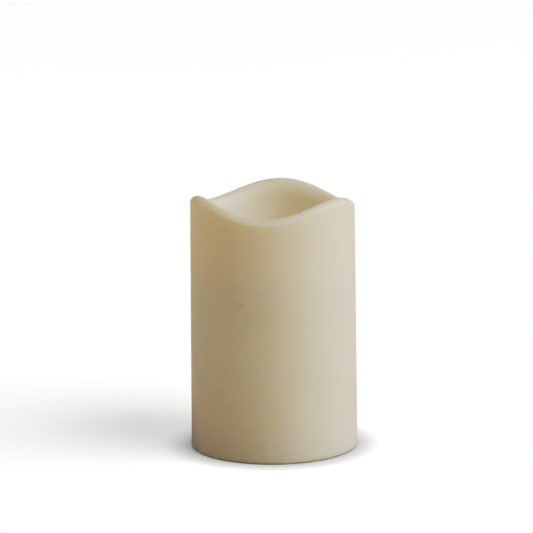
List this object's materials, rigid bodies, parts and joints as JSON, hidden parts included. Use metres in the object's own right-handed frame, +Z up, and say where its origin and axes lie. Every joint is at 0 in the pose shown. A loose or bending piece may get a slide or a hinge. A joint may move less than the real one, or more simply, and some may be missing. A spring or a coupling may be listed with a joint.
{
  "type": "flameless led candle",
  "caption": "Ivory pillar candle with a wavy melted rim, a plastic flame in its well, and a battery cap and switch underneath.",
  "frame": {"origin": "middle of the foot ring, on the surface that the candle stands on", "axes": "+Z up along the candle's axis, +Y towards one of the rim's three crests, +X towards the switch"},
  "size_m": [0.0822, 0.0822, 0.127],
  "materials": {
    "candle_resin": "satin",
    "flame_plastic": "satin, translucent",
    "lamp_epoxy": "clear, tinted",
    "tinned_steel": "tin plated",
    "holder_plastic": "satin",
    "screw_steel": "zinc plated",
    "sleeve_rubber": "matte",
    "wire_red": "satin",
    "wire_black": "satin",
    "wire_yellow": "satin",
    "housing_plastic": "satin",
    "cap_plastic": "satin",
    "cell_can": "printed sleeve",
    "contact_nickel": "nickel plated",
    "spring_nickel": "nickel plated",
    "board_laminate": "solder mask",
    "chip_epoxy": "moulded",
    "crystal_can": "satin",
    "capacitor_sleeve": "shrunk sleeve",
    "resistor_paint": "banded paint",
    "switch_phenolic": "pressed laminate",
    "terminal_brass": "tin plated",
    "slider_plastic": "satin",
    "seal_rubber": "matte",
    "rivet_brass": "satin"
  },
  "bodies": {
    "root": {"candle_shell": "candle_resin", "flame_tip": "flame_plastic", "led_lens": "lamp_epoxy", "led_leads": "tinned_steel", "switch_case": "tinned_steel", "led_holder": "holder_plastic", "contact_cover": "holder_plastic", "led_holder_screws": "screw_steel", "housing_screws": "screw_steel", "cover_screws": "screw_steel", "board_screws": "screw_steel", "switch_screws": "screw_steel", "led_sleeves": "sleeve_rubber", "switch_sleeves": "sleeve_rubber", "led_wire_red": "wire_red", "switch_wire_red": "wire_red", "led_wire_black": "wire_black", "switch_wire_black": "wire_black", "switch_wire_yellow": "wire_yellow", "base_housing": "housing_plastic", "battery_nub_down": "cell_can", "battery_nub_up": "cell_can", "positive_contact": "contact_nickel", "negative_contact": "contact_nickel", "negative_spring": "spring_nickel", "circuit_board": "board_laminate", "timer_chip": "chip_epoxy", "crystal": "crystal_can", "capacitor": "capacitor_sleeve", "resistors": "resistor_paint", "switch_base": "switch_phenolic", "switch_terminals": "terminal_brass"},
    "bridge": {"contact_disc": "contact_nickel", "disc_spring": "spring_nickel"},
    "cap": {"battery_cap": "cap_plastic", "cap_seal": "seal_rubber", "cap_rivet": "rivet_brass"},
    "switch": {"switch_slider": "slider_plastic"}
  },
  "joints": [
    {"name": "cap_drop", "type": "slide", "parent": "root", "child": "bridge", "axis": [0, 0, 1], "range_m": [-0.01375, 0]},
    {"name": "cap_turn", "type": "hinge", "parent": "bridge", "child": "cap", "pos_m": [-0.0095, 0, 0.0042], "axis": [0, 0, 1], "range_deg": [-330, 0]},
    {"name": "switch_slide", "type": "slide", "parent": "root", "child": "switch", "axis": [0, 1, 0], "range_m": [-0.002, 0.002]}
  ],
  "couplings": [
    {"joint": "cap_drop", "follows": "cap_turn", "m_per_rad": 0.0023873}
  ]
}
